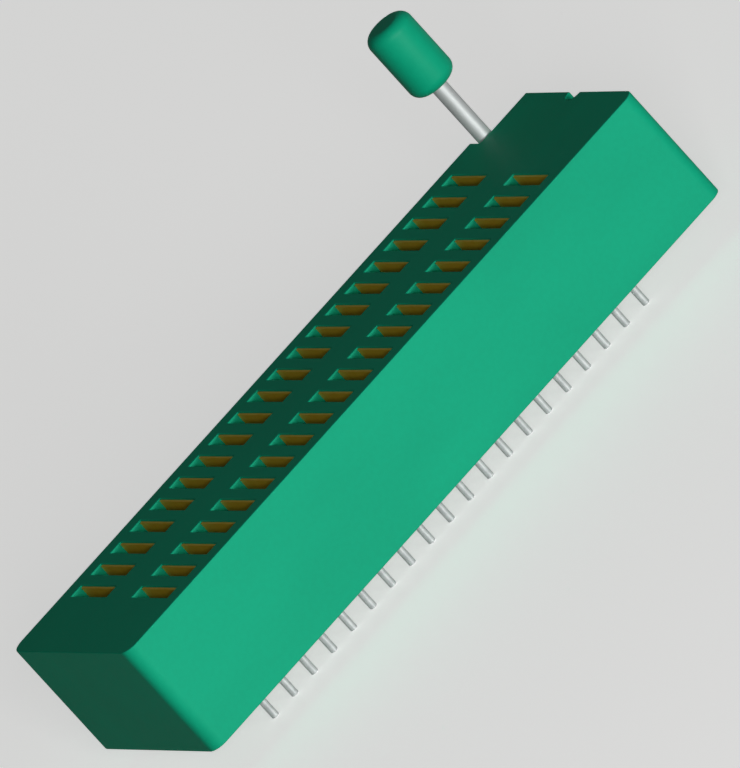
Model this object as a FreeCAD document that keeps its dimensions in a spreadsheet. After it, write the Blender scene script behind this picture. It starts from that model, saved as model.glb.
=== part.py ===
"""A 40-way zero insertion force socket for wide DIP chips, with its lever standing open.

The frame is in millimetres, +Z up. The origin is the centre of the pin field on the seating
plane, where the rim of the housing meets the circuit board. X runs along the rows of pins to the
end that holds the lever, and Y runs across them.

Sizes are worked out from the inside: the pitch of the pins, the springs between them and the comb
that pushes the springs set the length and width of the housing that covers them.
"""
import FreeCAD, Part
import os
import re

import Sketcher
from FreeCAD import Vector

# Driving sizes in millimetres. Each can be changed by itself.
SIZES = {
    # Pins, in two rows on the usual grid of dual in-line chips
    "pin_pitch": 2.54,
    "pins_per_row": 20,
    "pin_row_spacing": 15.24,
    "pin_diameter": 0.7,
    "pin_length": 3.0,
    "pin_collar_width": 0.84,
    # Slots in the top, one for each pin
    "slot_width": 1.3,
    "slot_length": 7.0,
    "slot_column_spacing": 12.0,
    # Contact springs, bent from strip
    "strip_thickness": 0.2,
    "contact_side_gap": 0.1,
    "leg_top_gap": 0.3,
    "leg_knee_height": 2.1,
    "leg_bend_drop": 0.3,
    "leg_throat": 0.38,
    "leg_flare": 0.07,
    "leg_tip_drop": 0.15,
    "strip_bend_flat": 0.15,
    # Comb that pushes the springs
    "slider_travel": 0.8,
    "slider_thickness": 4.0,
    "slider_rail_width": 0.55,
    "slider_near_bar": 0.7,
    "slider_far_bar": 1.3,
    "slider_side_gap": 0.1,
    "slider_slide_gap": 0.1,
    "window_side_gap": 0.3,
    "push_gap": 0.07,
    "comb_clearance": 0.44,
    # Yoke at the end of the comb, round the two cams
    "cam_diameter": 3.2,
    "cam_width": 3.0,
    "cam_gap": 0.06,
    "cam_side_gap": 0.2,
    "cam_roof_gap": 0.2,
    "yoke_side_wall": 0.6,
    "yoke_end_wall": 1.04,
    "yoke_end_gap": 0.4,
    "channel_gap": 0.15,
    # Lever, bent from round rod
    "rod_diameter": 1.5,
    "rod_outer_gap": 0.28,
    "bend_inner_radius": 0.1,
    "bend_gap": 0.12,
    "notch_end_gap": 0.25,
    "stop_gap": 0.15,
    "pivot_rise": 1.5,
    "bearing_gap": 0.05,
    "rear_bearing_length": 1.45,
    "front_bearing_length": 1.95,
    "shaft_end_gap": 0.1,
    "bearing_wall": 1.2,
    # Knob on the lever
    "knob_diameter": 4.5,
    "knob_length": 7.0,
    "knob_rise": 6.0,
    "knob_edge_radius": 1.0,
    "rod_in_knob": 5.5,
    # Washer and retaining clip on the shaft
    "washer_thickness": 0.3,
    "washer_diameter": 3.0,
    "washer_hole_gap": 0.06,
    "washer_play": 0.05,
    "clip_thickness": 0.3,
    "clip_diameter": 2.9,
    "clip_groove_depth": 0.2,
    "clip_mouth": 1.0,
    "clip_yoke_gap": 0.4,
    # Housing
    "side_wall": 1.1,
    "end_wall": 1.5,
    "top_skin": 1.5,
    "ceiling_gap": 0.6,
    "corner_radius": 1.27,
    "key_notch_radius": 1.0,
    "near_block_length": 2.45,
    "near_block_width": 6.0,
    "near_block_gap": 0.38,
    "far_block_gap": 1.52,
    # Base plate that closes the housing from below
    "rim_depth": 0.4,
    "base_thickness": 2.0,
    "base_gap": 0.05,
    "rail_height": 3.0,
    "rail_width": 0.45,
    "centre_rail_width": 1.6,
    # Screws that hold the base plate
    "screw_diameter": 1.2,
    "screw_head_diameter": 2.4,
    "screw_length": 4.6,
    "screw_hole_gap": 0.1,
    "screw_end_gap": 0.4,
    "screw_slot_width": 0.35,
    "screw_slot_depth": 0.3,
    "screw_inset": 1.5,
}

# Places that follow from the sizes. Heights first, from the board up.
PLACES = {
    "plate_top_z": "rim_depth + base_thickness",
    "slider_bottom_z": "plate_top_z + rail_height + slider_slide_gap",
    "slider_top_z": "slider_bottom_z + slider_thickness",
    "ceiling_z": "slider_top_z + ceiling_gap",
    "top_z": "ceiling_z + top_skin",
    "pivot_z": "slider_bottom_z + pivot_rise",
    "ledge_z": "pivot_z - rod_diameter / 2 - stop_gap",
    "cam_top_z": "pivot_z - slider_travel / 2 + cam_diameter / 2",
    "knob_bottom_z": "top_z + knob_rise",
    "rod_top_z": "knob_bottom_z + rod_in_knob",
    # Across the socket, from the middle out
    "column_y": "slot_column_spacing / 2",
    "contact_half_width": "slot_length / 2 - contact_side_gap",
    "window_half_width": "contact_half_width + window_side_gap",
    "slider_half_width": "column_y + window_half_width + slider_rail_width",
    "inner_half_width": "slider_half_width + slider_side_gap",
    "half_width": "inner_half_width + side_wall",
    "lever_y": "half_width - rod_outer_gap - rod_diameter / 2",
    "bend_radius": "rod_diameter / 2 + bend_inner_radius",
    "notch_wall_y": "lever_y - bend_radius - bend_gap",
    "block_y": "notch_wall_y - rear_bearing_length",
    "washer_y": "block_y - washer_play",
    "clip_y": "washer_y - washer_thickness - washer_play",
    "yoke_half_width": "clip_y - clip_thickness - clip_yoke_gap",
    "cam_outer_y": "yoke_half_width - yoke_side_wall - cam_side_gap",
    "cam_y": "cam_outer_y - cam_width / 2",
    "shaft_end_y": "-(block_y + front_bearing_length)",
    "screw_y": "inner_half_width - screw_inset",
    # Along one contact, from its own middle
    "leg_outer_x": "slot_width / 2 + strip_thickness",
    "push_x": "leg_throat + strip_thickness + push_gap",
    "window_start_x": "-(leg_outer_x + comb_clearance)",
    # Along the socket
    "row_length": "(pins_per_row - 1) * pin_pitch",
    "first_pin_x": "-row_length / 2",
    "slider_near_x": "first_pin_x + window_start_x - slider_near_bar",
    "near_block_x": "slider_near_x - slider_travel - near_block_gap",
    "inner_near_x": "near_block_x - near_block_length",
    "near_end_x": "inner_near_x - end_wall",
    "slider_far_x": "row_length / 2 + push_x + slider_far_bar",
    "far_block_x": "slider_far_x + far_block_gap",
    "pivot_x": "far_block_x + bearing_wall + rod_diameter / 2",
    "cam_pocket_far_x": "pivot_x + slider_travel / 2 + cam_diameter / 2 + cam_gap",
    "cam_pocket_near_x": "pivot_x + slider_travel / 2 - cam_diameter / 2 - cam_gap",
    "yoke_far_x": "cam_pocket_far_x + yoke_end_wall",
    "inner_far_x": "yoke_far_x + yoke_end_gap",
    "far_end_x": "inner_far_x + end_wall",
    "notch_start_x": "pivot_x - rod_diameter / 2 - notch_end_gap",
    "near_screw_x": "inner_near_x + screw_inset",
    "far_screw_x": "inner_far_x - screw_inset",
}

# Where the screws of the base plate stand, as a name and two formulas.
SCREW_PLACES = [
    ("near", "near_screw_x", "0"),
    ("far_front", "far_screw_x", "-screw_y"),
    ("far_rear", "far_screw_x", "screw_y"),
]

document = FreeCAD.newDocument("zif_socket")
sheet = document.addObject("Spreadsheet::Sheet", "Sizes")
for row, (size_name, size) in enumerate(SIZES.items(), start=1):
    sheet.set(f"A{row}", size_name)
    sheet.set(f"B{row}", str(size))
    sheet.setAlias(f"B{row}", size_name)
document.recompute()


def bound(formula):
    """The formula with each place written out and each size read from the sheet."""

    def written_out(match):
        name = match.group(0)
        if name in PLACES:
            return "(" + bound(PLACES[name]) + ")"
        if name in SIZES:
            return "Sizes." + name
        return name

    return re.sub(r"[a-z]\w*", written_out, formula)


def number(formula):
    """What a formula of sizes and places comes to, in millimetres."""
    return float(sheet.evalExpression(bound(formula)))


def new_body(label, x="0", y="0", z="0"):
    """An empty body at a place given by three formulas."""
    body = document.addObject("PartDesign::Body", label)
    body.Label = label
    body.AllowCompound = True
    for axis, formula in (("x", x), ("y", y), ("z", z)):
        body.setExpression("Placement.Base." + axis, bound(formula))
    return body


def origin_part(body, role):
    """One of the body's own origin planes or axes."""
    return next(part for part in body.Origin.OriginFeatures if part.Role == role)


def new_sketch(body, name, plane, lift="0"):
    """A sketch on a plane of the body, lifted along the plane's normal by a formula."""
    sketch = body.newObject("Sketcher::SketchObject", f"{body.Name}_{name}")
    sketch.AttachmentSupport = [(origin_part(body, plane), "")]
    sketch.MapMode = "FlatFace"
    sketch.setExpression("AttachmentOffset.Base.z", bound(lift))
    return sketch


def bind_point(sketch, element, corner, x, y):
    """Holds one point of a sketch at two formulas, measured from the sketch's origin."""
    for kind, formula in (("DistanceX", x), ("DistanceY", y)):
        held = Sketcher.Constraint(kind, -1, 1, element, corner, number(formula))
        index = sketch.addConstraint(held)
        sketch.setExpression(f"Constraints[{index}]", bound(formula))


def bind_radius(sketch, element, formula):
    """Holds the radius of a circle or an arc at a formula."""
    index = sketch.addConstraint(Sketcher.Constraint("Radius", element, number(formula)))
    sketch.setExpression(f"Constraints[{index}]", bound(formula))


def draw_polygon(sketch, corners):
    """A closed outline through corners, each a pair of formulas."""
    points = [Vector(number(x), number(y), 0) for x, y in corners]
    first = sketch.GeometryCount
    count = len(points)
    for index, point in enumerate(points):
        sketch.addGeometry(Part.LineSegment(point, points[(index + 1) % count]), False)
    for index in range(count):
        following = first + (index + 1) % count
        sketch.addConstraint(Sketcher.Constraint("Coincident", first + index, 2, following, 1))
    for index, (x, y) in enumerate(corners):
        bind_point(sketch, first + index, 1, x, y)


def draw_rectangle(sketch, x_low, x_high, y_low, y_high):
    """A rectangle between two pairs of formulas."""
    draw_polygon(sketch, [(x_low, y_low), (x_high, y_low), (x_high, y_high), (x_low, y_high)])


def draw_circle(sketch, x, y, radius):
    """A circle whose centre and radius are formulas."""
    centre = Vector(number(x), number(y), 0)
    circle = Part.Circle(centre, Vector(0, 0, 1), number(radius))
    element = sketch.addGeometry(circle, False)
    bind_point(sketch, element, 3, x, y)
    bind_radius(sketch, element, radius)


def extrude(kind, body, name, sketch, length, reverse=False, both_ways=False):
    """A pad or a pocket of a sketch, to a length given by a formula."""
    feature = body.newObject("PartDesign::" + kind, f"{body.Name}_{name}")
    feature.Profile = sketch
    feature.Reversed = reverse
    if both_ways:
        feature.SideType = "Symmetric"
    feature.setExpression("Length", bound(length))
    body.Tip = feature
    return feature


def draw_axis(sketch, start, end):
    """A construction line between two points, each a pair of formulas."""
    points = [Vector(number(x), number(y), 0) for x, y in (start, end)]
    line = sketch.addGeometry(Part.LineSegment(*points), True)
    bind_point(sketch, line, 1, *start)
    bind_point(sketch, line, 2, *end)


def draw_turned_profile(sketch, x, z, corners):
    """Half a turned section beside an upright axis, from radii and heights above a place."""
    heights = [f"{z} + {height}" for _, height in corners]
    outer = [(f"{x} + {radius}", level) for (radius, _), level in zip(corners, heights)]
    draw_polygon(sketch, [(x, heights[0])] + outer + [(x, heights[-1])])
    draw_axis(sketch, (x, heights[0]), (x, heights[-1]))


def turn(kind, body, name, sketch):
    """A full revolution or groove of a sketch about the axis that is drawn in it."""
    feature = body.newObject("PartDesign::" + kind, f"{body.Name}_{name}")
    feature.Profile = sketch
    feature.ReferenceAxis = (sketch, ["Axis0"])
    feature.Angle = 360
    body.Tip = feature


def repeat_along_row(body, original=None):
    """One copy for each pin of a row: of a feature, or of the whole body where none is given."""
    pattern = body.newObject("PartDesign::LinearPattern", f"{body.Name}_row")
    if original:
        pattern.Originals = [original]
    else:
        pattern.TransformMode = "Whole shape"
    pattern.Direction = (origin_part(body, "X_Axis"), [""])
    pattern.setExpression("Length", bound("row_length"))
    pattern.setExpression("Occurrences", bound("pins_per_row"))
    body.Tip = pattern


def round_edges(body, name, base, radius, wanted):
    """Fillets the edges of a feature that a test picks, to a radius given by a formula."""
    document.recompute()
    names = [f"Edge{i}" for i, edge in enumerate(base.Shape.Edges, start=1) if wanted(edge)]
    fillet = body.newObject("PartDesign::Fillet", f"{body.Name}_{name}")
    fillet.Base = (base, names)
    fillet.setExpression("Radius", bound(radius))
    body.Tip = fillet


def stands_upright(edge):
    """True for an edge that rises more than it runs."""
    box = edge.BoundBox
    return box.ZLength > box.XLength + box.YLength


def draw_both_columns(sketch, x_low, x_high, half_width):
    """Two equal rectangles, one for each column of slots."""
    for side in ("-", ""):
        middle = side + "column_y"
        y_low = f"{middle} - {half_width}"
        y_high = f"{middle} + {half_width}"
        draw_rectangle(sketch, x_low, x_high, y_low, y_high)


def make_housing():
    """The green shell: open below, with a slot over each spring and a corner cut for the lever."""
    body = new_body("housing")
    outline = new_sketch(body, "outline", "XY_Plane")
    draw_rectangle(outline, "near_end_x", "far_end_x", "-half_width", "half_width")
    block = extrude("Pad", body, "block", outline, "top_z")
    round_edges(body, "corners", block, "corner_radius", stands_upright)

    rim = new_sketch(body, "rim", "XY_Plane")
    draw_rectangle(rim, "inner_near_x", "inner_far_x", "-inner_half_width", "inner_half_width")
    extrude("Pocket", body, "rim_pocket", rim, "plate_top_z", reverse=True)

    cavity = new_sketch(body, "cavity", "XY_Plane")
    draw_polygon(cavity, [
        ("inner_near_x", "-inner_half_width"),
        ("far_block_x", "-inner_half_width"),
        ("far_block_x", "-block_y"),
        ("inner_far_x", "-block_y"),
        ("inner_far_x", "block_y"),
        ("far_block_x", "block_y"),
        ("far_block_x", "inner_half_width"),
        ("inner_near_x", "inner_half_width"),
        ("inner_near_x", "near_block_width / 2"),
        ("near_block_x", "near_block_width / 2"),
        ("near_block_x", "-near_block_width / 2"),
        ("inner_near_x", "-near_block_width / 2"),
    ])
    extrude("Pocket", body, "cavity_pocket", cavity, "ceiling_z", reverse=True)

    slots = new_sketch(body, "slots", "XY_Plane", "top_z")
    draw_both_columns(
        slots, "first_pin_x - slot_width / 2", "first_pin_x + slot_width / 2", "slot_length / 2"
    )
    first_slots = extrude("Pocket", body, "first_slots", slots, "top_skin")
    repeat_along_row(body, first_slots)

    notch = new_sketch(body, "notch", "XY_Plane", "top_z")
    draw_rectangle(
        notch, "notch_start_x", "far_end_x + end_wall", "notch_wall_y", "half_width + side_wall"
    )
    extrude("Pocket", body, "lever_notch", notch, "top_z - ledge_z")

    key = new_sketch(body, "key", "XY_Plane", "top_z")
    draw_circle(key, "far_end_x", "0", "key_notch_radius")
    extrude("Pocket", body, "key_notch", key, "top_z")

    bearings = new_sketch(body, "bearings", "XZ_Plane")
    draw_circle(bearings, "pivot_x", "pivot_z", "rod_diameter / 2 + bearing_gap")
    bore_length = "2 * (block_y + front_bearing_length + shaft_end_gap)"
    extrude("Pocket", body, "bearing_bores", bearings, bore_length, both_ways=True)

    pilots = new_sketch(body, "pilots", "XY_Plane", "plate_top_z")
    for _, x, y in SCREW_PLACES:
        draw_circle(pilots, x, y, "screw_diameter / 2")
    pilot_depth = "rim_depth + screw_length - plate_top_z + screw_end_gap"
    extrude("Pocket", body, "pilot_holes", pilots, pilot_depth, reverse=True)
    return body


def make_base_plate():
    """The floor of the socket, which holds the pins and carries the comb on three rails."""
    body = new_body("base_plate")
    outline = new_sketch(body, "outline", "XY_Plane", "rim_depth")
    edge_y = "inner_half_width - base_gap"
    draw_rectangle(
        outline, "inner_near_x + base_gap", "inner_far_x - base_gap", f"-({edge_y})", edge_y
    )
    extrude("Pad", body, "plate", outline, "base_thickness")

    rails = new_sketch(body, "rails", "XY_Plane", "plate_top_z")
    rail_start = "slider_near_x - slider_travel"
    draw_rectangle(
        rails, rail_start, "slider_far_x", "slider_half_width - rail_width", "slider_half_width"
    )
    draw_rectangle(
        rails, rail_start, "slider_far_x", "-slider_half_width", "rail_width - slider_half_width"
    )
    draw_rectangle(
        rails, rail_start, "slider_far_x", "-centre_rail_width / 2", "centre_rail_width / 2"
    )
    extrude("Pad", body, "slide_rails", rails, "rail_height")

    holes = new_sketch(body, "holes", "XY_Plane", "rim_depth")
    x_low = "first_pin_x - pin_collar_width / 2"
    x_high = "first_pin_x + pin_collar_width / 2"
    for side in ("-", ""):
        y_low = f"{side}pin_row_spacing / 2 - pin_collar_width / 2"
        y_high = f"{side}pin_row_spacing / 2 + pin_collar_width / 2"
        draw_rectangle(holes, x_low, x_high, y_low, y_high)
    first_holes = extrude("Pocket", body, "first_holes", holes, "base_thickness", reverse=True)
    repeat_along_row(body, first_holes)

    for name, x, y in SCREW_PLACES:
        mouth = new_sketch(body, name, "XZ_Plane", f"-({y})")
        draw_turned_profile(mouth, x, "rim_depth", [
            ("screw_head_diameter / 2 + screw_hole_gap", "0"),
            ("screw_diameter / 2 + screw_hole_gap", "(screw_head_diameter - screw_diameter) / 2"),
            ("screw_diameter / 2 + screw_hole_gap", "base_thickness"),
        ])
        turn("Groove", body, f"{name}_hole", mouth)
    return body


def make_pin_row(label, side):
    """A row of round solder pins, each with a square collar pressed into the base plate."""
    body = new_body(label, "first_pin_x", side + "pin_row_spacing / 2")
    shank = new_sketch(body, "shank", "XY_Plane", "-pin_length")
    draw_circle(shank, "0", "0", "pin_diameter / 2")
    extrude("Pad", body, "first_shank", shank, "pin_length + rim_depth")
    collar = new_sketch(body, "collar", "XY_Plane", "rim_depth")
    half = "pin_collar_width / 2"
    draw_rectangle(collar, "-" + half, half, "-" + half, half)
    extrude("Pad", body, "first_collar", collar, "base_thickness")
    repeat_along_row(body)
    return body


def make_contact(label, column, side):
    """One spring of bent strip: a fixed leg, a foot on the base plate and a leg that the comb
    pushes. The sketch runs round the section, which is as wide as the slot is long."""
    body = new_body(label, f"first_pin_x + {column} * pin_pitch", side + "column_y")
    section = new_sketch(body, "section", "XZ_Plane")
    inner = "leg_outer_x - strip_thickness"
    foot_top = "plate_top_z + strip_thickness"
    leg_top = "ceiling_z - leg_top_gap"
    knee = "plate_top_z + leg_knee_height"
    bend = "slider_bottom_z - leg_bend_drop"
    throat_back = "leg_throat + strip_thickness"
    draw_polygon(section, [
        ("-leg_outer_x", "plate_top_z + strip_bend_flat"),
        ("-leg_outer_x + strip_bend_flat", "plate_top_z"),
        ("leg_outer_x - strip_bend_flat", "plate_top_z"),
        ("leg_outer_x", "plate_top_z + strip_bend_flat"),
        ("leg_outer_x", knee),
        (throat_back, bend),
        (throat_back, "ceiling_z"),
        (f"{throat_back} + leg_flare", "top_z - leg_tip_drop"),
        ("leg_throat + leg_flare", "top_z - leg_tip_drop"),
        ("leg_throat", "ceiling_z"),
        ("leg_throat", bend),
        (inner, knee),
        (inner, foot_top),
        (f"-({inner})", foot_top),
        (f"-({inner})", leg_top),
        ("-leg_outer_x", leg_top),
    ])
    extrude("Pad", body, "strip", section, "2 * contact_half_width", both_ways=True)
    return body


def make_slider():
    """The comb that pushes the springs: windows round both columns, and a yoke over the cams."""
    body = new_body("slider")
    outline = new_sketch(body, "outline", "XY_Plane", "slider_bottom_z")
    draw_polygon(outline, [
        ("slider_near_x", "-slider_half_width"),
        ("slider_far_x", "-slider_half_width"),
        ("slider_far_x", "-yoke_half_width"),
        ("yoke_far_x", "-yoke_half_width"),
        ("yoke_far_x", "yoke_half_width"),
        ("slider_far_x", "yoke_half_width"),
        ("slider_far_x", "slider_half_width"),
        ("slider_near_x", "slider_half_width"),
    ])
    extrude("Pad", body, "plate", outline, "slider_thickness")

    windows = new_sketch(body, "windows", "XY_Plane", "slider_bottom_z")
    draw_both_columns(
        windows, "first_pin_x + window_start_x", "first_pin_x + push_x", "window_half_width"
    )
    first = extrude("Pocket", body, "first_windows", windows, "slider_thickness", reverse=True)
    repeat_along_row(body, first)

    pockets = new_sketch(body, "pockets", "XY_Plane", "slider_bottom_z")
    reach = "cam_width / 2 + cam_side_gap"
    for side in ("-", ""):
        draw_rectangle(
            pockets, "cam_pocket_near_x", "cam_pocket_far_x",
            f"{side}cam_y - ({reach})", f"{side}cam_y + {reach}",
        )
    pocket_depth = "cam_top_z + cam_roof_gap - slider_bottom_z"
    extrude("Pocket", body, "cam_pockets", pockets, pocket_depth, reverse=True)

    channel = new_sketch(body, "channel", "XY_Plane", "slider_bottom_z")
    clear = "rod_diameter / 2 + channel_gap"
    draw_rectangle(
        channel, f"pivot_x - ({clear})", f"pivot_x + slider_travel + {clear}",
        "-slider_half_width", "slider_half_width",
    )
    extrude("Pocket", body, "shaft_channel", channel, f"pivot_rise + {clear}", reverse=True)
    return body


def make_lever_rod():
    """The bent steel rod: an upright arm, a tight elbow and the shaft that carries the cams."""
    body = new_body("lever_rod", "pivot_x")
    path = new_sketch(body, "path", "YZ_Plane")
    arm_y = number("lever_y")
    pivot_z = number("pivot_z")
    radius = number("bend_radius")
    top = Vector(arm_y, number("rod_top_z"), 0)
    bend_top = Vector(arm_y, pivot_z + radius, 0)
    bend_end = Vector(arm_y - radius, pivot_z, 0)
    shaft_end = Vector(number("shaft_end_y"), pivot_z, 0)
    middle = Vector(arm_y - radius, pivot_z + radius, 0) + Vector(1, -1, 0).normalize() * radius
    arm = path.addGeometry(Part.LineSegment(top, bend_top), False)
    elbow = path.addGeometry(Part.Arc(bend_top, middle, bend_end), False)
    shaft = path.addGeometry(Part.LineSegment(bend_end, shaft_end), False)
    ends = (1, 2) if path.getPoint(elbow, 1).distanceToPoint(bend_top) < 1e-6 else (2, 1)
    path.addConstraint(Sketcher.Constraint("Tangent", arm, 2, elbow, ends[0]))
    path.addConstraint(Sketcher.Constraint("Tangent", elbow, ends[1], shaft, 1))
    path.addConstraint(Sketcher.Constraint("Vertical", arm))
    path.addConstraint(Sketcher.Constraint("Horizontal", shaft))
    bind_point(path, arm, 1, "lever_y", "rod_top_z")
    bind_point(path, shaft, 2, "shaft_end_y", "pivot_z")
    bind_radius(path, elbow, "bend_radius")

    section = new_sketch(body, "section", "XY_Plane", "rod_top_z")
    draw_circle(section, "0", "lever_y", "rod_diameter / 2")
    rod = body.newObject("PartDesign::AdditivePipe", "lever_rod_rod")
    rod.Profile = section
    rod.Spine = (path, ["Edge1", "Edge2", "Edge3"])
    body.Tip = rod

    groove = new_sketch(body, "groove", "YZ_Plane")
    clip_start = "clip_y - clip_thickness"
    floor = "pivot_z + rod_diameter / 2 - clip_groove_depth"
    rim = "pivot_z + rod_diameter / 2 + clip_groove_depth"
    draw_rectangle(groove, clip_start, "clip_y", floor, rim)
    draw_axis(groove, (clip_start, "pivot_z"), ("clip_y", "pivot_z"))
    turn("Groove", body, "clip_groove", groove)
    return body


def make_lever_knob():
    """The moulded knob on top of the lever, with a blind bore for the rod."""
    body = new_body("lever_knob", "pivot_x", "lever_y", "knob_bottom_z")
    section = new_sketch(body, "section", "XY_Plane")
    draw_circle(section, "0", "0", "knob_diameter / 2")
    barrel = extrude("Pad", body, "barrel", section, "knob_length")
    round_edges(body, "ends", barrel, "knob_edge_radius", lambda edge: edge.isClosed())
    bore = new_sketch(body, "bore", "XY_Plane")
    draw_circle(bore, "0", "0", "rod_diameter / 2")
    extrude("Pocket", body, "rod_bore", bore, "rod_in_knob", reverse=True)
    return body


def make_cam(label, side):
    """An eccentric sleeve on the shaft. Its middle stands ahead of the shaft and below it, so
    that a quarter turn of the lever carries it back by the travel of the comb."""
    body = new_body(label, "pivot_x", side + "cam_y", "pivot_z")
    section = new_sketch(body, "section", "XZ_Plane")
    draw_circle(section, "slider_travel / 2", "-slider_travel / 2", "cam_diameter / 2")
    draw_circle(section, "0", "0", "rod_diameter / 2")
    extrude("Pad", body, "sleeve", section, "cam_width", both_ways=True)
    return body


def make_thrust_washer():
    """The plain washer between the retaining clip and the rear bearing."""
    body = new_body("thrust_washer", "pivot_x", "washer_y", "pivot_z")
    section = new_sketch(body, "section", "XZ_Plane")
    draw_circle(section, "0", "0", "washer_diameter / 2")
    draw_circle(section, "0", "0", "rod_diameter / 2 + washer_hole_gap")
    extrude("Pad", body, "ring", section, "washer_thickness")
    return body


def make_retaining_clip():
    """The open ring that snaps into the groove of the shaft and keeps the lever in."""
    body = new_body("retaining_clip", "pivot_x", "clip_y", "pivot_z")
    section = new_sketch(body, "section", "XZ_Plane")
    draw_circle(section, "0", "0", "clip_diameter / 2")
    draw_circle(section, "0", "0", "rod_diameter / 2 - clip_groove_depth")
    extrude("Pad", body, "ring", section, "clip_thickness")
    mouth = new_sketch(body, "mouth", "XZ_Plane")
    draw_rectangle(mouth, "-clip_mouth / 2", "clip_mouth / 2", "-clip_diameter", "0")
    extrude("Pocket", body, "mouth_cut", mouth, "2 * clip_thickness", both_ways=True)
    return body


def make_base_screws():
    """The countersunk screws that hold the base plate up against the blocks of the housing."""
    body = new_body("base_screws")
    slots = new_sketch(body, "slots", "XY_Plane", "rim_depth")
    for name, x, y in SCREW_PLACES:
        profile = new_sketch(body, name, "XZ_Plane", f"-({y})")
        draw_turned_profile(profile, x, "rim_depth", [
            ("screw_head_diameter / 2", "0"),
            ("screw_diameter / 2", "(screw_head_diameter - screw_diameter) / 2"),
            ("screw_diameter / 2", "screw_length"),
        ])
        turn("Revolution", body, f"{name}_screw", profile)
        draw_rectangle(
            slots, f"{x} - screw_head_diameter", f"{x} + screw_head_diameter",
            f"{y} - screw_slot_width / 2", f"{y} + screw_slot_width / 2",
        )
    extrude("Pocket", body, "driver_slots", slots, "screw_slot_depth", reverse=True)
    return body


parts = [
    make_housing(),
    make_base_plate(),
    make_pin_row("pin_row_front", "-"),
    make_pin_row("pin_row_rear", ""),
    make_slider(),
    make_lever_rod(),
    make_lever_knob(),
    make_cam("cam_front", "-"),
    make_cam("cam_rear", ""),
    make_thrust_washer(),
    make_retaining_clip(),
    make_base_screws(),
]

# Contacts are numbered as pins of a chip are: up the front row, then back along the rear row.
row_count = SIZES["pins_per_row"]
for index in range(row_count):
    parts.append(make_contact(f"contact_{index + 1:02d}", index, "-"))
for index in range(row_count):
    parts.append(make_contact(f"contact_{2 * row_count - index:02d}", index, ""))

document.recompute()
for item in document.Objects:
    if "Invalid" in item.State or "Error" in item.State:
        raise RuntimeError(f"{item.Label} did not build: {item.State}")
for part in parts:
    if part.Shape.isNull() or not part.Shape.isValid():
        raise RuntimeError(f"{part.Label} has no sound shape")

os.makedirs("parts", exist_ok=True)
for part in parts:
    part.Shape.exportStep(f"parts/{part.Label}.step")
print(len(parts), "sub-parts written")
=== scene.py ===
# %% [markdown]
# A forty way socket for wide chips, with its lever standing open
#
# The object is a green moulded housing with two columns of slots, a brass spring under each slot,
# two rows of round solder pins below, and a bent steel lever with a knob. Turning the lever slides
# a comb inside, and the comb closes the springs on the legs of a chip.
#
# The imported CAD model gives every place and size. This lesson adds what a drawing leaves out:
# edges as a mould leaves them, strip and rod with soft bends, and the finish of each material.
# The first cell loads the model as a fixed frame and keeps the box that it fills.

import bmesh
import bpy
import numpy as np
from mathutils import Matrix, Vector


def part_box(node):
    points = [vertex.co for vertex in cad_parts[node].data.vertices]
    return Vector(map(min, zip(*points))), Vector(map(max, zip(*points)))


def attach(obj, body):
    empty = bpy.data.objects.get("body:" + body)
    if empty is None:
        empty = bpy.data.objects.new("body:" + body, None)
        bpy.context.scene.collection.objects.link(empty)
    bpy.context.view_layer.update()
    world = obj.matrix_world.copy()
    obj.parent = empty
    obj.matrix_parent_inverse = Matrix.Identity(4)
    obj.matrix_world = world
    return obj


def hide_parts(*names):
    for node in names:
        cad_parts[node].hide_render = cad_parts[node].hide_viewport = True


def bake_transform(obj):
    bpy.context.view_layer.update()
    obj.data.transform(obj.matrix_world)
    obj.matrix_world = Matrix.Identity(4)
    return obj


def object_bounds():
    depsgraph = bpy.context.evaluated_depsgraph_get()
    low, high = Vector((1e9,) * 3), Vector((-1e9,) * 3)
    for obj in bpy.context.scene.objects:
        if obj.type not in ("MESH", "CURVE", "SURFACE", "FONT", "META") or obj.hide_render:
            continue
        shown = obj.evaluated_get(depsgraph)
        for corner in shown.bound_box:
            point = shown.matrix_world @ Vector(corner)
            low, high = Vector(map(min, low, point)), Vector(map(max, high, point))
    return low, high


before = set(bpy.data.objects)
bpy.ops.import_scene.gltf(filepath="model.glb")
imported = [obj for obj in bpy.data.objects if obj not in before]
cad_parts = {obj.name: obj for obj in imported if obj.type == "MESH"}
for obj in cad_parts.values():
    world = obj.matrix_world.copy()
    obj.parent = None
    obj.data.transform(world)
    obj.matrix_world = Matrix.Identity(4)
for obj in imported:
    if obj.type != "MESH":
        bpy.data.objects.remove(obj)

cad_low, cad_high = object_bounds()
print("CAD box in mm:", [round(1000 * side, 2) for side in cad_high - cad_low])

# %% [markdown]
# Colours are shown as they are written, so the view transform is Standard. A film-like transform
# would grey the strong green of the moulding.

# %% Show colours plainly
bpy.context.scene.view_settings.view_transform = "Standard"
print("view transform:", bpy.context.scene.view_settings.view_transform)

# %% [markdown]
# Blender works in metres, and the sizes of a socket are easier to read in millimetres. One
# constant turns one into the other. A second helper gives the box of a CAD node as two arrays, so
# that each new piece takes its place from the node that it stands for.

# %% Millimetres and boxes
MM = 0.001


def box_of(node):
    """The lowest and highest corner of a CAD node, as two arrays in metres."""
    low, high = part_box(node)
    return np.array(low), np.array(high)


housing_low, housing_high = box_of("housing")
print("housing in mm:", np.round((housing_high - housing_low) / MM, 2))

# %% [markdown]
# The pieces that are made by formula are grids: rings of points, one after another, joined by
# quads. A turned knob, a bent rod and a strip all have this form, and only the formula for the
# points differs. The points are worked out as whole arrays.
#
# The grid can also give each face its own place on a map: the share of the turn for the first
# number, and the length along the piece for the second. The fine lines on the rod read that map.

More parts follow.
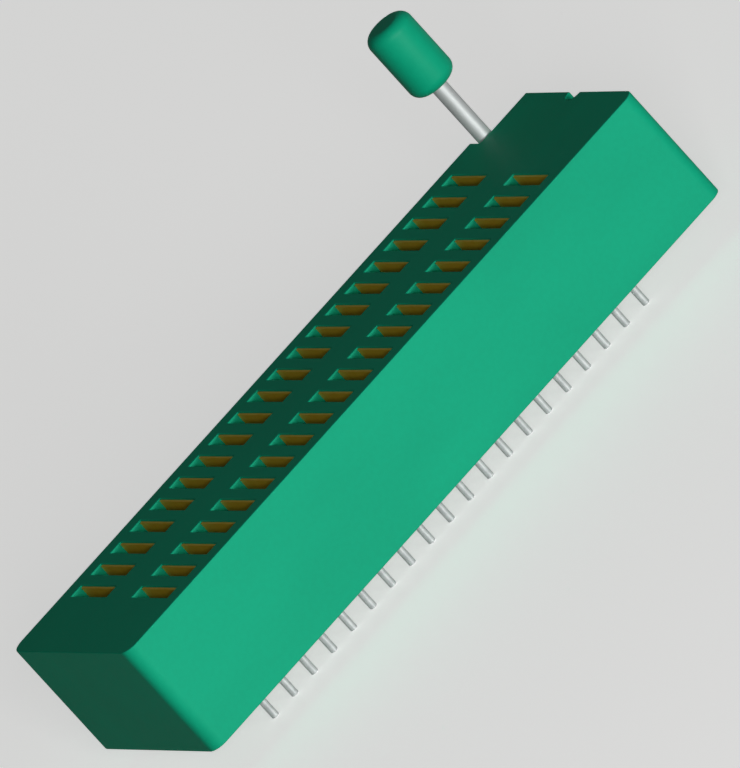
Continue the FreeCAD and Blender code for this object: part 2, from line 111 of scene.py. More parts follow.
# %% Grids of points
def grid_faces(rings, points):
    """Quads between neighbouring rings, closed round each ring.

    Point number = ring number times points per ring, plus place on the ring.
    """
    ring, point = np.meshgrid(np.arange(rings - 1), np.arange(points), indexing="ij")
    after = (point + 1) % points
    corners = [ring * points + point, ring * points + after,
               (ring + 1) * points + after, (ring + 1) * points + point]
    return np.stack(corners, axis=-1).reshape(-1, 4)


def grid_map(rings, points, lengths):
    """For each corner of each quad: share of the turn, and length along the piece."""
    ring, point = np.meshgrid(np.arange(rings - 1), np.arange(points), indexing="ij")
    around = np.stack([point, point + 1, point + 1, point], axis=-1) / points
    along = np.stack([lengths[ring], lengths[ring], lengths[ring + 1], lengths[ring + 1]], axis=-1)
    return np.stack([around, along], axis=-1).reshape(-1, 2)


print("a grid of 3 rings of 4 points has", len(grid_faces(3, 4)), "faces")

# %% [markdown]
# A mesh takes the points and faces as they are. Two clean-ups follow in bmesh, Blender's own mesh
# editor for scripts: points that lie on each other become one, and the faces turn outwards.
# Smooth shading is then switched on for the whole piece, and only edges that turn sharply are
# marked to stay crisp, because a machined step with soft shading looks like rubber.

# %% Meshes from grids
MERGE_DISTANCE = 0.0005 * MM


def make_piece(name, points, faces, face_map=None):
    """A smooth mesh object from an array of points and a list of faces, closed and facing out."""
    mesh = bpy.data.meshes.new(name)
    mesh.from_pydata(points.reshape(-1, 3).tolist(), [], faces)
    if face_map is not None:
        layer = mesh.uv_layers.new(name="turn_and_length")
        layer.data.foreach_set("uv", face_map.ravel())
    work = bmesh.new()
    work.from_mesh(mesh)
    bmesh.ops.remove_doubles(work, verts=work.verts, dist=MERGE_DISTANCE)
    bmesh.ops.recalc_face_normals(work, faces=work.faces)
    work.to_mesh(mesh)
    work.free()
    mesh.shade_smooth()
    piece = bpy.data.objects.new(name, mesh)
    bpy.context.scene.collection.objects.link(piece)
    return piece


def mark_sharp(piece, degrees):
    """Edges that turn by more than this many degrees stay crisp under smooth shading."""
    piece.data.set_sharp_from_angle(angle=np.radians(degrees))


print("points closer than", MERGE_DISTANCE / MM, "mm are merged")

# %% [markdown]
# A lathe shape is the usual way to make a knob: one profile, turned round an axis. A sweep is the
# way to make rod and strip: one outline, carried along a path. Both are functions of two
# parameters. A profile that starts and ends on the axis closes by itself, and a swept piece gets
# a flat face at each end.

# %% Turned and swept shapes
def full_turn(points):
    """Evenly spaced angles once round, without the last one, which would repeat the first."""
    return np.linspace(0, 2 * np.pi, points, endpoint=False)


def turned(profile, centre, points):
    """Profile pairs of radius and height, turned about an upright axis.

    Point = centre + radius times (cosine, sine of the turn), at the profile's height.
    """
    turn = full_turn(points)
    radius, height = profile[:, :1], profile[:, 1:]
    across = centre[0] + radius * np.cos(turn)
    along = centre[1] + radius * np.sin(turn)
    return np.stack([across, along, np.broadcast_to(height, across.shape)], axis=-1)


def swept(path, side, out, outline):
    """An outline carried along a path.

    Point = path point + the outline's first number times side + its second times out.
    """
    first, second = outline[..., 0, None], outline[..., 1, None]
    return path[:, None] + first * side[:, None] + second * out[:, None]


def arc(centre, radius, start, end, steps):
    """Points on an arc, from start to end in degrees, as pairs."""
    angle = np.radians(np.linspace(start, end, steps))
    return np.array(centre) + radius * np.stack([np.cos(angle), np.sin(angle)], axis=-1)


def lengths_along(path):
    """The distance travelled at each point of a path."""
    steps = np.linalg.norm(np.diff(path, axis=0), axis=1)
    return np.concatenate([[0.0], np.cumsum(steps)])


def closed_grid(name, points, lengths):
    """A piece from rings of points, with a flat face on its first and last ring."""
    rings, count = points.shape[:2]
    faces = grid_faces(rings, count).tolist()
    ends = [list(range(count)), list(range((rings - 1) * count, rings * count))]
    corners = np.zeros((2 * count, 2))
    face_map = np.concatenate([grid_map(rings, count, lengths), corners])
    return make_piece(name, points, faces + ends, face_map)


print("a quarter arc of 1 mm ends at", np.round(arc((0, 0), 1.0, 0, 90, 5)[-1], 3))

# %% [markdown]
# Materials are node trees. Wiring them by hand hides the idea, so one small class wraps an output
# socket and lets Python's own arithmetic add the Math nodes. Every other node comes from its one
# method, which takes the node's type, its settings and what its sockets hold.

# %% Shader maths as expressions
class Wire:
    """An output socket of a node tree, on which arithmetic adds Math nodes."""

    def __init__(self, tree, socket=None):
        self.tree = tree
        self.socket = socket

    def node(self, kind, settings=None, inputs=None, output=0):
        """A new node with its settings, its sockets filled or linked, and one of its outputs."""
        made = self.tree.nodes.new(kind)
        for name, value in (settings or {}).items():
            setattr(made, name, value)
        for name, value in (inputs or {}).items():
            if isinstance(value, Wire):
                self.tree.links.new(value.socket, made.inputs[name])
            else:
                made.inputs[name].default_value = value
        return Wire(self.tree, made.outputs[output])

    def maths(self, operation, first, second):
        """A Math node on two values, each a number or a wire."""
        return self.node("ShaderNodeMath", {"operation": operation}, {0: first, 1: second})

    def __add__(self, other):
        return self.maths("ADD", self, other)

    def __mul__(self, other):
        return self.maths("MULTIPLY", self, other)

    __radd__ = __add__
    __rmul__ = __mul__

    def band(self, low, high):
        """0 below low, 1 above high, and a smooth step between."""
        return self.node("ShaderNodeMapRange", {"interpolation_type": "SMOOTHSTEP"},
                         {"Value": self, "From Min": low, "From Max": high})


print("wire operations: add, multiply, band")

# %% [markdown]
# A finish is one shader whose sockets hold either a plain number, the same all over, or a wire
# that changes from place to place. The patterns are noises. Nearly all of them read the place on
# the object, in metres, so a grain of a fifth of a millimetre has that size on every piece. A
# noise is a sum of layers, each with features half as large as the one before, and detail says
# how many follow the first.

# %% Helpers for finishes
FINE = 3.0


def new_finish(name):
    """A material with one shader, and a wire to build its tree from."""
    material = bpy.data.materials.new(name)
    material.use_nodes = True
    return material, Wire(material.node_tree), material.node_tree.nodes["Principled BSDF"]


def connect(shader, **sockets):
    """Links or sets sockets of the shader, named in small letters."""
    for name, value in sockets.items():
        socket = shader.inputs[name.replace("_", " ").title().replace("Ior", "IOR")]
        if isinstance(value, Wire):
            value.tree.links.new(value.socket, socket)
        else:
            socket.default_value = value


def mixed(wire, amount, first, second):
    """A colour between two colours."""
    colours = {0: amount, 6: (*first, 1.0), 7: (*second, 1.0)}
    return wire.node("ShaderNodeMix", {"data_type": "RGBA"}, colours, output=2)


def clouds(wire, place, size, detail=2.0):
    """Noise from 0 to 1 with features of about one size, in the unit of the place."""
    sockets = {"Vector": place, "Scale": 1 / size, "Detail": detail}
    return wire.node("ShaderNodeTexNoise", {}, sockets)


def stretched(wire, place, scale):
    """A place whose three numbers are each multiplied, which draws a pattern out along one."""
    return wire.node("ShaderNodeMapping", {}, {"Vector": place, "Scale": scale})


def object_place(wire):
    """The place on the object, in metres."""
    return wire.node("ShaderNodeTexCoord", output="Object")


def bumped(wire, height, depth):
    """A normal tilted by a height pattern of a given depth, in metres."""
    sockets = {"Strength": 1.0, "Distance": depth, "Height": height}
    return wire.node("ShaderNodeBump", {}, sockets)


print("a grain of 0.2 mm is a noise of scale", round(1 / (0.2 * MM)))

# %% [markdown]
# The housing is moulded in a glass filled plastic. Its mould is spark eroded, which leaves a fine
# satin grain, and the glass makes the colour drift a little from place to place. A flat green
# would look like a drawing. Three noises of different sizes are used: the largest moves mostly
# the colour, the middle one mostly the gloss, and the smallest is the grain itself, as bump.

# %% Finishes of the mouldings
DRIFT_SIZE = 7.0 * MM
SPECK_SIZE = 0.5 * MM
GRAIN_SIZE = 0.22 * MM
GREEN = (0.0035, 0.400, 0.218)
DARK_GREEN = (0.006, 0.105, 0.070)


def moulded(name, colour, drift, roughness, grain_depth):
    """Satin plastic whose colour drifts by a share, with a spark eroded grain."""
    material, wire, shader = new_finish(name)
    place = object_place(wire)
    flow = clouds(wire, stretched(wire, place, (0.35, 1.0, 1.0)), DRIFT_SIZE)
    specks = clouds(wire, place, SPECK_SIZE, FINE)
    grain = clouds(wire, place, GRAIN_SIZE)
    shade = flow.band(0.3, 0.7) * 0.7 + specks.band(0.35, 0.65) * 0.3
    darker = [part * (1 - drift) for part in colour]
    lighter = [part * (1 + drift) + 0.015 * drift for part in colour]
    connect(shader, base_color=mixed(wire, shade, darker, lighter),
            roughness=specks * 0.10 + flow * 0.06 + (roughness - 0.08),
            normal=bumped(wire, grain * 0.7 + specks * 0.3, grain_depth),
            specular_ior_level=0.12)
    return material


MOULDINGS = {
    "green_moulding": dict(colour=GREEN, drift=0.05, roughness=0.58, grain_depth=0.010 * MM),
    "green_knob": dict(colour=GREEN, drift=0.04, roughness=0.48, grain_depth=0.006 * MM),
    "comb_moulding": dict(colour=DARK_GREEN, drift=0.08, roughness=0.50, grain_depth=0.010 * MM),
}
finishes = {name: moulded(name, **recipe) for name, recipe in MOULDINGS.items()}
print("mouldings:", sorted(finishes))

# %% [markdown]
# The lever is bent from drawn steel rod. Drawing leaves hair fine lines along the rod, which
# follow it round the bend, so the pattern reads the piece's own map, which is in millimetres
# along the rod: ninety cells of noise go round it, and each is four millimetres long. Handling
# leaves the steel a little duller in soft patches.
#
# The pins are tin plated, the small fasteners zinc plated, and the cams turned and left bright.
# Plating has no direction, only soft clouds and tiny pits, so one function makes all three. The
# springs are cut from rolled brass. Rolling leaves lines too, and the strips stand upright, so
# plain lines along the object's height do.
#
# A full metal shows only what it mirrors, and with a few lamps that is mostly dark. Rod, pins and
# springs are therefore only partly metallic, and show some of their colour in plain light.

# %% Finishes of the metals
CELLS_ROUND_ROD = 90.0
CELL_LENGTH_IN_MM = 4.0
DULL_SIZE = 2.5 * MM
PLATING_SIZE = 0.6 * MM
PIT_SIZE = 0.09 * MM
ROLLING_SIZE = 0.06 * MM
TARNISH_SIZE = 1.3 * MM


def drawn_steel(name, colour):
    """Steel rod with fine lines along it, which follow the piece's own map."""
    material, wire, shader = new_finish(name)
    along = wire.node("ShaderNodeUVMap", {"uv_map": "turn_and_length"})
    cells = stretched(wire, along, (CELLS_ROUND_ROD, 1 / CELL_LENGTH_IN_MM, 1.0))
    lines = clouds(wire, cells, 1.0, FINE)
    blotches = clouds(wire, object_place(wire), DULL_SIZE, FINE)
    darker = [part * 0.86 for part in colour]
    shade = lines * 0.5 + blotches.band(0.35, 0.7) * 0.5
    connect(shader, base_color=mixed(wire, shade, darker, colour), metallic=0.60,
            roughness=lines * 0.12 + blotches * 0.12 + 0.46,
            normal=bumped(wire, lines, 0.004 * MM))
    return material


def plated(name, colour, tint, roughness, metallic=1.0):
    """Thin plating: soft gloss that clouds over a few tenths of a millimetre."""
    material, wire, shader = new_finish(name)
    place = object_place(wire)
    blotches = clouds(wire, place, PLATING_SIZE, FINE)
    pits = clouds(wire, place, PIT_SIZE)
    connect(shader, base_color=mixed(wire, blotches.band(0.3, 0.7), tint, colour),
            metallic=metallic, roughness=blotches * 0.16 + pits * 0.10 + (roughness - 0.13),
            normal=bumped(wire, pits * 0.6 + blotches * 0.4, 0.004 * MM))
    return material


def rolled_brass(name, colour, tarnish):
    """Strip with rolling lines along its height, tarnished in soft patches."""
    material, wire, shader = new_finish(name)
    place = object_place(wire)
    lines = clouds(wire, stretched(wire, place, (1.0, 1.0, 0.06)), ROLLING_SIZE, FINE)
    patches = clouds(wire, place, TARNISH_SIZE, FINE).band(0.35, 0.75)
    connect(shader, base_color=mixed(wire, patches * 0.6 + lines * 0.4, colour, tarnish),
            metallic=0.25, roughness=lines * 0.16 + patches * 0.12 + 0.34,
            normal=bumped(wire, lines, 0.003 * MM))
    return material


PLATED = {
    "turned_steel": dict(colour=(0.66, 0.68, 0.69), tint=(0.58, 0.59, 0.60), roughness=0.34),
    "tinned_pin": dict(colour=(0.88, 0.90, 0.90), tint=(0.78, 0.80, 0.81), roughness=0.44,
                       metallic=0.75),
    "zinc_steel": dict(colour=(0.62, 0.64, 0.68), tint=(0.52, 0.54, 0.60), roughness=0.38),
}
BRASS = (0.98, 0.64, 0.05)
TARNISHED_BRASS = (0.86, 0.53, 0.03)
finishes["bright_steel"] = drawn_steel("bright_steel", colour=(0.74, 0.76, 0.76))
finishes.update({name: plated(name, **recipe) for name, recipe in PLATED.items()})
finishes["spring_brass"] = rolled_brass("spring_brass", BRASS, TARNISHED_BRASS)
print("finishes:", len(finishes))

# %% [markdown]
# A new piece is finished in three short steps that are the same each time: its material, which
# fills its one slot, the CAD body that it moves with, and the hiding of the CAD nodes that it
# stands for. The slot is called as its finish is, so one name gives both.

# %% Dressing a piece
def dress(piece, slot, nodes, body=None):
    """Gives a piece its material and its body, and hides the CAD nodes it stands for."""
    piece.data.materials.append(finishes[slot])
    if body is not None:
        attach(piece, body)
    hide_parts(*nodes)
    return piece


# %% [markdown]
# The housing, the base plate and the comb look machined in the CAD model: apart from the rounded
# upright corners, each edge is perfectly sharp. A mould can't make such an edge, and a sharp edge
# catches no light. The CAD mesh itself must stay as it is, so a copy is made. Its loose triangles
# are merged, flat faces are joined into one, and a Bevel modifier then breaks each sharp edge by
# a tenth of a millimetre or less. Making the forty slots again by formula would risk a slot that
# isn't over its spring.
#
# The joined faces keep a few flat seams that run out to the holes. Loop Slide would pull the
# bevel along those seams and make spikes, so it is off. A Weighted Normal modifier then lets the
# large flat faces decide the shading, and only the broken edges look round.

# %% Mouldings with broken edges
HOUSING_BREAK = 0.10 * MM
INNER_BREAK = 0.06 * MM
FLAT_SEAM = np.radians(0.4)
SHARP_EDGE = np.radians(30)


def broken_edges(node, name, width, slot, body):
    """A merged copy of a CAD node, with every edge above 30 degrees broken by a small bevel."""
    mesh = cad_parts[node].data.copy()
    mesh.name = name
    mesh.materials.clear()
    work = bmesh.new()
    work.from_mesh(mesh)
    bmesh.ops.remove_doubles(work, verts=work.verts, dist=MERGE_DISTANCE)
    bmesh.ops.dissolve_limit(work, angle_limit=FLAT_SEAM, verts=work.verts,
                             edges=work.edges, use_dissolve_boundaries=False)
    work.to_mesh(mesh)
    work.free()
    mesh.shade_smooth()
    piece = bpy.data.objects.new(name, mesh)
    bpy.context.scene.collection.objects.link(piece)
    bevel = piece.modifiers.new("broken edges", "BEVEL")
    bevel.width = width
    bevel.segments = 2
    bevel.limit_method = "ANGLE"
    bevel.angle_limit = SHARP_EDGE
    bevel.use_clamp_overlap = False
    bevel.loop_slide = False
    normals = piece.modifiers.new("flat faces stay flat", "WEIGHTED_NORMAL")
    normals.mode = "FACE_AREA"
    normals.weight = 100
    print(name, "has", len(mesh.polygons), "faces before the bevel")
    return dress(piece, slot, [node], body)


broken_edges("housing", "moulded_housing", HOUSING_BREAK, "green_moulding", "root")
broken_edges("base_plate", "moulded_base_plate", INNER_BREAK, "green_moulding", "root")
broken_edges("slider", "moulded_comb", INNER_BREAK, "comb_moulding", "comb")

# %% [markdown]
# The knob is moulded onto the rod: a short cylinder with well rounded ends. Its profile runs from
# the blind end of the hole for the rod, down the hole, round the lower edge, up the side, over the
# upper edge and in to the middle of the top. Turned round the axis, that profile gives a smooth
# shape with true roundings, where a scaled cylinder would show flats.

# %% Knob
KNOB_EDGE = 1.0 * MM
MOUTH_BREAK = 0.12 * MM
HOLE_GAP = 0.01 * MM
HOLE_END_GAP = 0.02 * MM
KNOB_POINTS = 96
MOUTH_RINGS = 4
EDGE_RINGS = 13
knob_low, knob_high = box_of("lever_knob")
rod_low, rod_high = box_of("lever_rod")
rod_radius = (rod_high[0] - rod_low[0]) / 2
knob_centre = (knob_low[:2] + knob_high[:2]) / 2
knob_radius = (knob_high[0] - knob_low[0]) / 2


def knob_profile():
    """Radius and height from the blind end of the hole, round the outside, to the top's middle."""
    hole = rod_radius + HOLE_GAP
    blind_end = rod_high[2] + HOLE_END_GAP
    bottom, top = knob_low[2], knob_high[2]
    inside = knob_radius - KNOB_EDGE
    return np.concatenate([
        [[0.0, blind_end], [hole, blind_end], [hole, bottom + MOUTH_BREAK]],
        arc((hole + MOUTH_BREAK, bottom + MOUTH_BREAK), MOUTH_BREAK, 180, 270, MOUTH_RINGS),
        arc((inside, bottom + KNOB_EDGE), KNOB_EDGE, -90, 0, EDGE_RINGS),
        arc((inside, top - KNOB_EDGE), KNOB_EDGE, 0, 90, EDGE_RINGS),
        [[0.0, top]],
    ])


profile = knob_profile()
knob_points = turned(profile, knob_centre, KNOB_POINTS)
knob = make_piece("turned_knob", knob_points, grid_faces(*knob_points.shape[:2]).tolist())
mark_sharp(knob, degrees=50)
dress(knob, "green_knob", ["lever_knob"], "lever")
print("knob radius in mm:", round(knob_radius / MM, 3))

# %% [markdown]
# The lever is one piece of round rod: an upright arm, a tight bend and a long shaft across the
# socket. The path is two straight runs joined by a quarter circle, and the outline is a circle
# whose radius changes along it. It narrows at both ends, where the rod was cut and tumbled, and
# in the groove that holds the retaining clip.

# %% Lever rod
BEND_RADIUS = 0.85 * MM
END_BREAK = 0.12 * MM
GROOVE_DEPTH = 0.2 * MM
CLEAR_OF_GROOVE = 0.4 * MM
ARM_RINGS = 23
BEND_RINGS = 25
SHAFT_RINGS = 30
ROD_POINTS = 40
clip_low, clip_high = box_of("retaining_clip")
arm_y = rod_high[1] - rod_radius
shaft_z = rod_low[2] + rod_radius
bend_y, bend_z = arm_y - BEND_RADIUS, shaft_z + BEND_RADIUS


def rod_path():
    """The rod's middle line in Y and Z, the direction out of it, and its radius at each point.

    Down the arm, round a quarter circle, and along the shaft. The groove has two rings at each
    of its ends, and the inner two are the narrow ones.
    """
    top, end = rod_high[2], rod_low[1]
    arm = np.linspace(top, bend_z, ARM_RINGS, endpoint=False)
    arm[1] = top - END_BREAK
    bend = arc((bend_y, bend_z), BEND_RADIUS, 0, -90, BEND_RINGS)
    groove = np.array([clip_high[1], clip_high[1], clip_low[1], clip_low[1]])
    plain = np.linspace(clip_low[1] - CLEAR_OF_GROOVE, end + END_BREAK, SHAFT_RINGS)
    shaft = np.concatenate([groove, plain, [end]])
    line = np.concatenate([np.stack([np.full(ARM_RINGS, arm_y), arm], axis=-1), bend,
                           np.stack([shaft, np.full(len(shaft), shaft_z)], axis=-1)])
    out = np.concatenate([np.tile([1.0, 0.0], (ARM_RINGS, 1)),
                          (bend - (bend_y, bend_z)) / BEND_RADIUS,
                          np.tile([0.0, -1.0], (len(shaft), 1))])
    radius = np.full(len(line), rod_radius)
    radius[[0, -1]] -= END_BREAK
    groove_start = ARM_RINGS + BEND_RINGS
    radius[groove_start + 1:groove_start + 3] -= GROOVE_DEPTH
    return line, out, radius


line, out, radius = rod_path()
rod_x = np.full((len(line), 1), (rod_low[0] + rod_high[0]) / 2)
circle = np.stack([np.cos(full_turn(ROD_POINTS)), np.sin(full_turn(ROD_POINTS))], axis=-1)
rod_points = swept(np.hstack([rod_x, line]), np.tile([1.0, 0.0, 0.0], (len(line), 1)),
                   np.hstack([0 * rod_x, out]), radius[:, None, None] * circle)
rod = closed_grid("bent_rod", rod_points, lengths_along(line) / MM)
mark_sharp(rod, degrees=35)
dress(rod, "bright_steel", ["lever_rod"], "lever")
print("rod length in mm:", round(lengths_along(line)[-1] / MM, 1))

# %% [markdown]
# A solder pin is round wire with a square collar, which keeps it from turning in the base plate.
# One formula makes both: a superellipse, which is a circle when its power is 2 and nearly a
# square when its power is high. The power rises with height, and the tip is rounded off so that
# it finds its hole in the board. Twenty pins are one piece, as one row is one node in the model.

# %% Solder pins
PIN_RADIUS = 0.35 * MM
PIN_BREAK = 0.09 * MM
COLLAR_HALF_WIDTH = 0.42 * MM
COLLAR_LENGTH = 2.0 * MM
NECK_LENGTH = 0.10 * MM
NECK_STEP = 0.02 * MM
ROUND = 2.0
NEARLY_ROUND = 2.4
SQUARE = 8.0
TIP_RINGS = 5
PIN_POINTS = 32
PINS_PER_ROW = 20


def pin_outlines(low, high):
    """Rows of height, half width and power for one pin, from its tip up to its collar's top."""
    tip = arc((PIN_RADIUS - PIN_BREAK, low + PIN_BREAK), PIN_BREAK, -90, 0, TIP_RINGS)
    tip = np.column_stack([tip[:, 1], tip[:, 0], np.full(TIP_RINGS, ROUND)])
    neck = high - COLLAR_LENGTH
    collar = np.array([[neck - NECK_LENGTH, PIN_RADIUS, ROUND],
                       [neck, PIN_RADIUS + NECK_STEP, NEARLY_ROUND],
                       [neck + NECK_STEP, COLLAR_HALF_WIDTH, SQUARE],
                       [high, COLLAR_HALF_WIDTH, SQUARE]])
    return np.concatenate([tip, collar])


def superellipse(half_width, power, wave):
    """Half width times the sign of a cosine or sine, times its size to the power 2 / power."""
    return half_width * np.sign(wave) * np.abs(wave) ** (2 / power)


def pin_row(name, node):
    """Twenty pins: superellipses of the cosine and sine of the turn, one above another."""
    low, high = box_of(node)
    rows = pin_outlines(low[2], high[2])
    turn = full_turn(PIN_POINTS)
    height, half_width, power = rows[:, :1], rows[:, 1:2], rows[:, 2:]
    across = superellipse(half_width, power, np.cos(turn))
    along = superellipse(half_width, power, np.sin(turn))
    one = np.stack([across, along, np.broadcast_to(height, across.shape)], axis=-1)
    middles = np.linspace(low[0] + COLLAR_HALF_WIDTH, high[0] - COLLAR_HALF_WIDTH, PINS_PER_ROW)
    row_y = np.full(PINS_PER_ROW, (low[1] + high[1]) / 2)
    places = np.stack([middles, row_y, 0 * middles], axis=-1)
    points = one[None] + places[:, None, None]
    rings, count = one.shape[:2]
    faces = grid_faces(rings, count)
    shift = np.arange(PINS_PER_ROW)[:, None, None] * rings * count
    sides = (faces[None] + shift).reshape(-1, 4).tolist()
    tips = (np.arange(count)[None] + shift[:, 0]).tolist()
    tops = (np.arange(count)[None] + (rings - 1) * count + shift[:, 0]).tolist()
    row = make_piece(name, points, sides + tips + tops)
    mark_sharp(row, degrees=40)
    return dress(row, "tinned_pin", [node], "root")


for side in ("front", "rear"):
    row = pin_row("solder_pins_" + side, "pin_row_" + side)
    print(row.name, "has", len(row.data.polygons), "faces")

# %% [markdown]
# Each contact is a strip of spring brass bent into a U: a fixed leg, a foot on the base plate, and
# a moving leg with a knee low down and a flared tip in the slot. The strip bends in the real
# socket, and a rigid piece can't, so the contact is made as two pieces that meet under the moving
# leg. Each is a sweep along a middle line. Two smooth steps make the knee and the flare, and the
# rings stand close together only where the strip bends.

# %% Middle lines of the springs
STRIP = 0.2 * MM
BEND = 0.32 * MM
JOIN = 0.35 * MM
FIXED_LEG_TOP = 9.8 * MM
LOWER_RUN = (3.4 * MM, 4.4 * MM)
KNEE_RUN = (4.5 * MM, 5.3 * MM)
MIDDLE_RUN = (6.2 * MM, 8.8 * MM)
FLARE_RUN = (9.2 * MM, 10.3 * MM)
TIP_START = 10.8 * MM
KNEE_DEPTH = 0.27 * MM
FLARE_DEPTH = 0.065 * MM
FIXED_LEG_RINGS = 5
FOLD_RINGS = 8
LOWER_RINGS = 3
MIDDLE_RINGS = 4
STEP_RINGS = 9


def smooth(share):
    """0 to 1 with no corner: 3 times the share squared, less 2 times the share cubed."""
    share = np.clip(share, 0, 1)
    return share * share * (3 - 2 * share)


def stepped(height, run, depth):
    """How far the strip has gone sideways at each height: depth times a smooth step over a run."""
    start, end = run
    return depth * smooth((height - start) / (end - start))


def fixed_leg_line(low):
    """Down the fixed leg, round a bend and along the foot, as X from the middle, and Z."""
    x, z = low[0] + STRIP / 2, low[2] + STRIP / 2
    height = np.linspace(FIXED_LEG_TOP, z + BEND, FIXED_LEG_RINGS, endpoint=False)
    leg = np.stack([np.full(len(height), x), height], axis=-1)
    fold = arc((x + BEND, z + BEND), BEND, 180, 270, FOLD_RINGS)
    return np.concatenate([leg, fold, [[0.0, z], [JOIN, z]]])


def moving_leg_line(low, high):
    """Along the foot, round a bend, up past the knee and out at the flare."""
    x, z = high[0] - STRIP / 2, low[2] + STRIP / 2
    fold = arc((x - BEND, z + BEND), BEND, -90, 0, FOLD_RINGS)
    height = np.concatenate([
        np.linspace(*LOWER_RUN, LOWER_RINGS), np.linspace(*KNEE_RUN, STEP_RINGS),
        np.linspace(*MIDDLE_RUN, MIDDLE_RINGS), np.linspace(*FLARE_RUN, STEP_RINGS),
        [TIP_START],
    ])
    knee = stepped(height, KNEE_RUN, -KNEE_DEPTH)
    flare = stepped(height, FLARE_RUN, FLARE_DEPTH)
    leg = np.stack([x + knee + flare, height], axis=-1)
    return np.concatenate([[[JOIN, z]], fold, leg, [[leg[-1, 0], high[2]]]])


print("a smooth step is", smooth(0.25), "a quarter of the way along")

# %% [markdown]
# The outline carried along each line is the strip's thin section, with its cut edges broken. The
# fixed leg rides on the housing. The moving leg is given no body, and its points are baked into
# place.

# %% Contact springs
STRIP_BREAK = 0.04 * MM


def strip_piece(name, line, middle_x, low, high):
    """A thin section with broken edges, carried along a line in X and Z."""
    slope = np.gradient(line, axis=0)
    slope /= np.linalg.norm(slope, axis=1, keepdims=True)
    middle_y = np.full(len(line), (low[1] + high[1]) / 2)
    path = np.stack([line[:, 0] + middle_x, middle_y, line[:, 1]], axis=-1)
    out = np.stack([-slope[:, 1], 0 * slope[:, 0], slope[:, 0]], axis=-1)
    half, thick = (high[1] - low[1]) / 2, STRIP / 2
    edge, inner = half - STRIP_BREAK, thick - STRIP_BREAK
    outline = np.array([[edge, thick], [-edge, thick], [-half, inner], [-half, -inner],
                        [-edge, -thick], [edge, -thick], [half, -inner], [half, inner]])
    side = np.tile([0.0, 1.0, 0.0], (len(line), 1))
    return closed_grid(name, swept(path, side, out, outline[None]), lengths_along(line) / MM)


def contact(number):
    """The two pieces of one spring, both standing for its CAD node."""
    node = "contact_%02d" % number
    low, high = box_of(node)
    middle = np.array([(low[0] + high[0]) / 2, 0.0, 0.0])
    fixed_line = fixed_leg_line(low - middle)
    moving_line = moving_leg_line(low - middle, high - middle)
    fixed = strip_piece(node + "_fixed_leg", fixed_line, middle[0], low, high)
    moving = strip_piece(node + "_spring_leg", moving_line, middle[0], low, high)
    for leg in (fixed, moving):
        mark_sharp(leg, degrees=35)
    dress(fixed, "spring_brass", [node], "root")
    dress(moving, "spring_brass", [node])
    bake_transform(moving)
    return moving


springs = [contact(number) for number in range(1, 2 * PINS_PER_ROW + 1)]
print(len(springs), "springs, each moving leg with", len(springs[0].data.polygons), "faces")

# %% [markdown]
# The small metal parts inside are right as they come from the CAD model: two cams, a washer, a
# clip and three screws. They keep their meshes and only get a better finish.

# %% Finishes of the kept CAD nodes
KEPT = {"cam_front": "turned_steel", "cam_rear": "turned_steel", "retaining_clip": "zinc_steel",
        "thrust_washer": "zinc_steel", "base_screws": "zinc_steel"}
for node, finish in KEPT.items():
    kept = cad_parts[node]
    if not kept.data.materials:
        kept.data.materials.append(None)
    for material_slot in kept.material_slots:
        material_slot.material = finishes[finish]
print("kept nodes:", sorted(KEPT))

# %% [markdown]
# The socket stands on the tips of its pins, on a plain pale floor. The floor is a large plane that
# takes the shadow. Part of its paleness is given only to what the camera and the reflections see,
# so that it brightens the picture without lighting the object. Seen from below it lets the camera
# through, so that the pins can be looked at.

# %% Floor
FLOOR_SEEN = 0.55
FLOOR_MIRRORED = 0.14


def make_floor(half, height):
    """A flat square, whose material is pale, keeps shadows and can't be seen from below."""
    corners = half * np.array([[-1, -1, 0], [1, -1, 0], [1, 1, 0], [-1, 1, 0]], dtype=float)
    mesh = bpy.data.meshes.new("floor")
    mesh.from_pydata((corners + (0, 0, height)).tolist(), [], [[0, 1, 2, 3]])
    floor = bpy.data.objects.new("floor", mesh)
    bpy.context.scene.collection.objects.link(floor)
    material, wire, shader = new_finish("pale_floor")
    seen = wire.node("ShaderNodeLightPath", output="Is Camera Ray")
    mirrored = wire.node("ShaderNodeLightPath", output="Is Glossy Ray")
    connect(shader, base_color=(0.80, 0.80, 0.79, 1.0), roughness=0.9, specular_ior_level=0.0,
            emission_color=(1.0, 1.0, 0.99, 1.0),
            emission_strength=seen * FLOOR_SEEN + mirrored * FLOOR_MIRRORED)
    below = wire.node("ShaderNodeNewGeometry", output="Backfacing")
    clear = wire.node("ShaderNodeBsdfTransparent")
    pale = Wire(wire.tree, shader.outputs[0])
    shown = wire.node("ShaderNodeMixShader", {}, {0: below, 1: pale, 2: clear})
    wire.tree.links.new(shown.socket, wire.tree.nodes["Material Output"].inputs["Surface"])
    mesh.materials.append(material)
    return floor


floor = make_floor(half=2.0, height=cad_low[2])
print("floor at mm:", round(cad_low[2] / MM, 2))

# %% [markdown]
# The light is a plain studio set of three soft boxes. A long one stands low in front, so the long
# side is bright while the top and the near end stay in shade, as in the photograph. A second one
# stands just under the line of sight and shines nearly along it, because light from anywhere else
# doesn't reach the springs in the slots. A third one lights the back, for views from there. The
# world adds only a little. The sum on the long side is about one, at which a colour renders as it
# is written.
#
# The back soft box is opposite the camera, so the top would mirror it as a pale haze. It is left
# out of reflections and gives only soft light.

# %% Light
LAMP_DISTANCE = 0.80
LIT_POINT = Vector((0.002, 0.0, 0.006))
SKY_SEEN = 0.83
SKY_MIRRORED = 0.10
SKY_LIGHT = 0.022


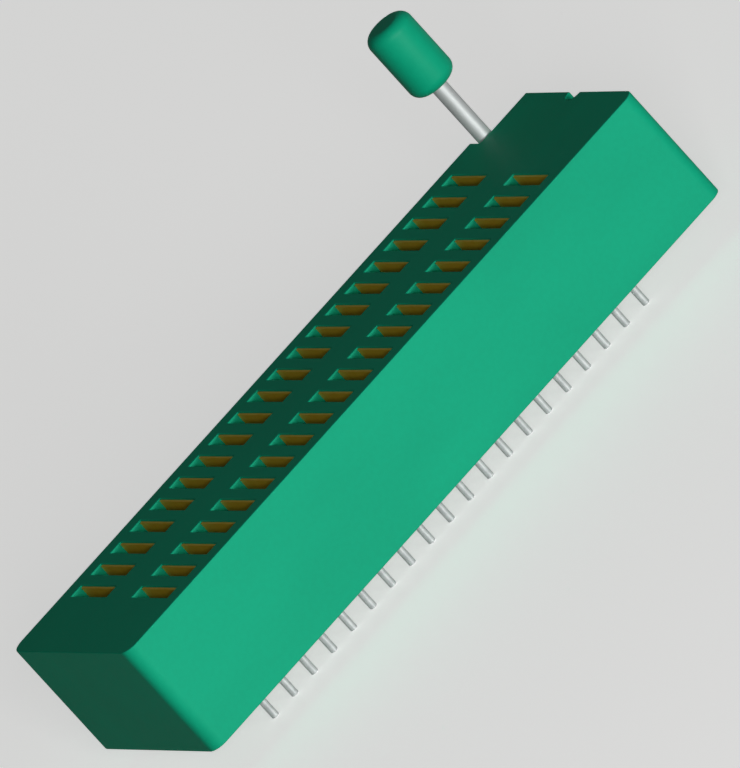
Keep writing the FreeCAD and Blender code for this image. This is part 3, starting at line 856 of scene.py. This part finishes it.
def soft_box(name, azimuth, elevation, width, height, watts):
    """An area lamp that faces the object. Azimuth 0 is in front and grows to the left.

    Place = lit point + distance times (-sin azimuth cos elevation, -cos azimuth cos elevation,
    sin elevation).
    """
    across, up = np.radians([azimuth, elevation])
    away = Vector((-np.sin(across) * np.cos(up), -np.cos(across) * np.cos(up), np.sin(up)))
    lamp = bpy.data.lights.new(name, "AREA")
    lamp.shape = "RECTANGLE"
    lamp.size, lamp.size_y = width, height
    lamp.energy = watts
    holder = bpy.data.objects.new(name, lamp)
    holder.location = LIT_POINT + away * LAMP_DISTANCE
    holder.rotation_euler = away.to_track_quat("Z", "Y").to_euler()
    bpy.context.scene.collection.objects.link(holder)
    return holder


soft_box("low soft box", azimuth=-6.0, elevation=2.2, width=0.24, height=0.05, watts=3.4)
soft_box("camera soft box", azimuth=18.4, elevation=15.0, width=0.16, height=0.16, watts=2.1)
back = soft_box("back soft box", azimuth=-158.0, elevation=2.2, width=0.30, height=0.05, watts=3.0)
back.visible_glossy = False

world = bpy.data.worlds.new("pale studio")
world.use_nodes = True
bpy.context.scene.world = world
sky = Wire(world.node_tree)
seen = sky.node("ShaderNodeLightPath", output="Is Camera Ray")
mirrored = sky.node("ShaderNodeLightPath", output="Is Glossy Ray")
backdrop = world.node_tree.nodes["Background"]
backdrop.inputs["Color"].default_value = (0.93, 0.95, 1.0, 1.0)
strength = seen * SKY_SEEN + mirrored * SKY_MIRRORED + SKY_LIGHT
world.node_tree.links.new(strength.socket, backdrop.inputs["Strength"])

# %% [markdown]
# The photograph has no perspective: parallel edges stay parallel. A very long lens far away gives
# nearly the same view and still lets other views be taken. The three directions below are the
# picture's right, its up and the way to the camera, measured from the long edges of the object.
# The view is rolled, so the socket stands across the picture. The camera's distance grows with
# the lens, which keeps the object's size in the picture.

# %% Camera
RIGHT = Vector((0.63829, -0.42612, -0.64110))
UP = Vector((0.70866, 0.0, 0.70556))
TO_CAMERA = Vector((-0.30065, -0.90467, 0.30197))
TARGET = Vector((6.36, 7.28, 5.32)) * MM
LENS = 1500.0
DISTANCE_PER_LENS = 0.0017794

lens = bpy.data.cameras.new("camera")
lens.lens = LENS
lens.clip_start = 0.5
lens.clip_end = 20.0
camera = bpy.data.objects.new("camera", lens)
turned_to = Matrix((RIGHT, UP, TO_CAMERA)).transposed()
place = TARGET + TO_CAMERA * (LENS * DISTANCE_PER_LENS)
camera.matrix_world = Matrix.Translation(place) @ turned_to.to_4x4()
bpy.context.scene.collection.objects.link(camera)
bpy.context.scene.camera = camera
print("camera at m:", [round(number, 3) for number in camera.location])
